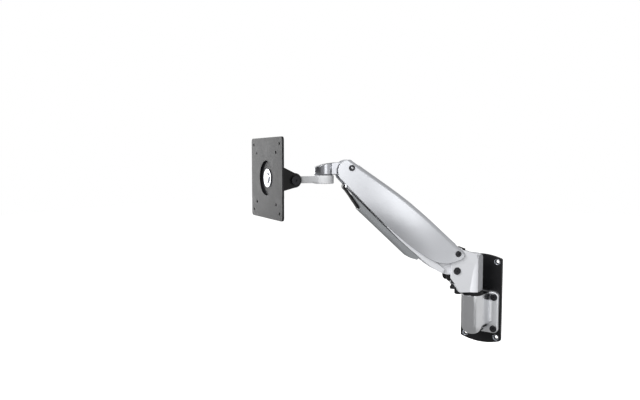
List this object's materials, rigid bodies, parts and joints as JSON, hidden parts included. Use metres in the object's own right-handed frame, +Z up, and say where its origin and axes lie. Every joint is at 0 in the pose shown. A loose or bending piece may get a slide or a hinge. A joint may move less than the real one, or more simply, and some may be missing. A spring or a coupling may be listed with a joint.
{
  "type": "monitor arm",
  "caption": "Wall-mounted gas-spring arm with a bowed wall plate, swivelling shoulder, silver-shelled rising link pair, level elbow, and a square head plate that swivels, tilts and rolls.",
  "frame": {"origin": "centre of the wall plate's back face, on the wall", "axes": "+Z up, +Y into the wall, the arm reaches out to -Y; stored with the arm swung and raised as pictured"},
  "size_m": [0.3133, 0.3352, 0.3464],
  "materials": {
    "black_plate": "satin black powder coat",
    "bright_steel": "bright zinc plating",
    "polished_alloy": "polished casting",
    "black_screw": "black oxide",
    "bush_bronze": "sintered bronze",
    "black_plastic": "fine texture",
    "silver_paint": "satin silver",
    "steel": "ground",
    "shell_silver": "satin silver paint on a pressure casting",
    "spring_black": "gloss black",
    "grey_cover": "satin grey",
    "rubber": "matte"
  },
  "bodies": {
    "wall_mount": {"wall_plate": "black_plate", "hole_cups": "bright_steel", "wall_socket": "polished_alloy", "socket_screws": "black_screw", "upper_bush": "bush_bronze", "lower_bush": "bush_bronze", "bearing_disc": "black_plastic"},
    "shoulder": {"spindle": "steel", "shoulder_casting": "silver_paint", "fork_buffer": "rubber", "swivel_stop": "black_plastic", "shoulder_bushes": "bush_bronze", "lower_pivot_screws": "black_screw"},
    "adjuster": {"adjuster_screw": "black_screw", "adjuster_clip": "steel"},
    "anchor": {"anchor_nut": "steel"},
    "upper_link": {"upper_shell": "shell_silver", "shoulder_pivot_bolt": "black_screw", "shoulder_pivot_nut": "black_screw", "elbow_pivot_bolt": "black_screw", "elbow_pivot_nut": "black_screw", "gas_cylinder": "spring_black", "gas_front_pin": "steel", "rod_guide": "bush_bronze"},
    "gas_piston": {"gas_rod": "bright_steel", "rod_eye": "steel"},
    "lower_link": {"lower_channel": "silver_paint", "link_bushes": "bush_bronze", "cable_cover": "grey_cover", "cable_loop": "black_plastic", "bump_pads": "rubber"},
    "elbow": {"elbow_casting": "polished_alloy", "elbow_bush": "bush_bronze", "elbow_pin": "steel", "elbow_pin_clips": "steel", "swivel_washer": "black_plastic", "swivel_bolt": "black_screw"},
    "head": {"swivel_block": "polished_alloy", "swivel_bush": "bush_bronze", "tilt_bush": "bush_bronze"},
    "tilt": {"tilt_bracket": "black_plate", "tilt_axle": "black_screw", "tilt_nut": "black_screw", "tilt_washers": "black_plastic", "roll_washer": "black_plastic", "centre_bolt": "bright_steel", "centre_washer": "bright_steel", "centre_nut": "black_screw"},
    "plate": {"head_plate": "black_plate", "plate_disc": "black_plate"}
  },
  "joints": [
    {"name": "shoulder_swivel", "type": "hinge", "parent": "wall_mount", "child": "shoulder", "pos_m": [0, -0.048, 0], "axis": [0, 0, 1], "range_deg": [-44, 136]},
    {"name": "arm_pitch", "type": "hinge", "parent": "shoulder", "child": "upper_link", "pos_m": [-0.0241, -0.07127, 0.0857], "axis": [-0.6947, 0.7193, 0], "range_deg": [-76, 4]},
    {"name": "lower_link_pitch", "type": "hinge", "parent": "shoulder", "child": "lower_link", "pos_m": [-0.0241, -0.07127, 0.0572], "axis": [-0.6947, 0.7193, 0], "range_deg": [-76, 4]},
    {"name": "elbow_level", "type": "hinge", "parent": "upper_link", "child": "elbow", "pos_m": [-0.14981, -0.19267, 0.22422], "axis": [-0.6947, 0.7193, 0], "range_deg": [-4, 76]},
    {"name": "gas_stroke", "type": "slide", "parent": "upper_link", "child": "gas_piston", "axis": [0.5418, 0.5232, -0.6578], "range_m": [-0.02198, 0.00117]},
    {"name": "tension_screw", "type": "hinge", "parent": "shoulder", "child": "adjuster", "pos_m": [-0.0241, -0.07127, 0], "axis": [0, 0, 1], "range_deg": [-360, 360]},
    {"name": "tension_nut", "type": "slide", "parent": "shoulder", "child": "anchor", "axis": [0, 0, 1], "range_m": [-0.00126, 0.00126]},
    {"name": "head_swivel", "type": "hinge", "parent": "elbow", "child": "head", "pos_m": [-0.18002, -0.22185, 0.20632], "axis": [0, 0, 1], "range_deg": [-108, 72]},
    {"name": "head_tilt", "type": "hinge", "parent": "head", "child": "tilt", "pos_m": [-0.20725, -0.27306, 0.20632], "axis": [-0.8829, 0.4695, 0], "range_deg": [-20, 40]},
    {"name": "plate_roll", "type": "hinge", "parent": "tilt", "child": "plate", "pos_m": [-0.22533, -0.30705, 0.20992], "axis": [-0.4695, -0.8829, 0], "range_deg": [-90, 90]}
  ],
  "couplings": [
    {"joint": "lower_link_pitch", "follows": "arm_pitch", "ratio": 1},
    {"joint": "elbow_level", "follows": "arm_pitch", "ratio": -1},
    {"joint": "gas_stroke", "follows": "arm_pitch", "m_per_rad": 0.016559},
    {"joint": "tension_nut", "follows": "tension_screw", "m_per_rad": 0.00019894}
  ]
}
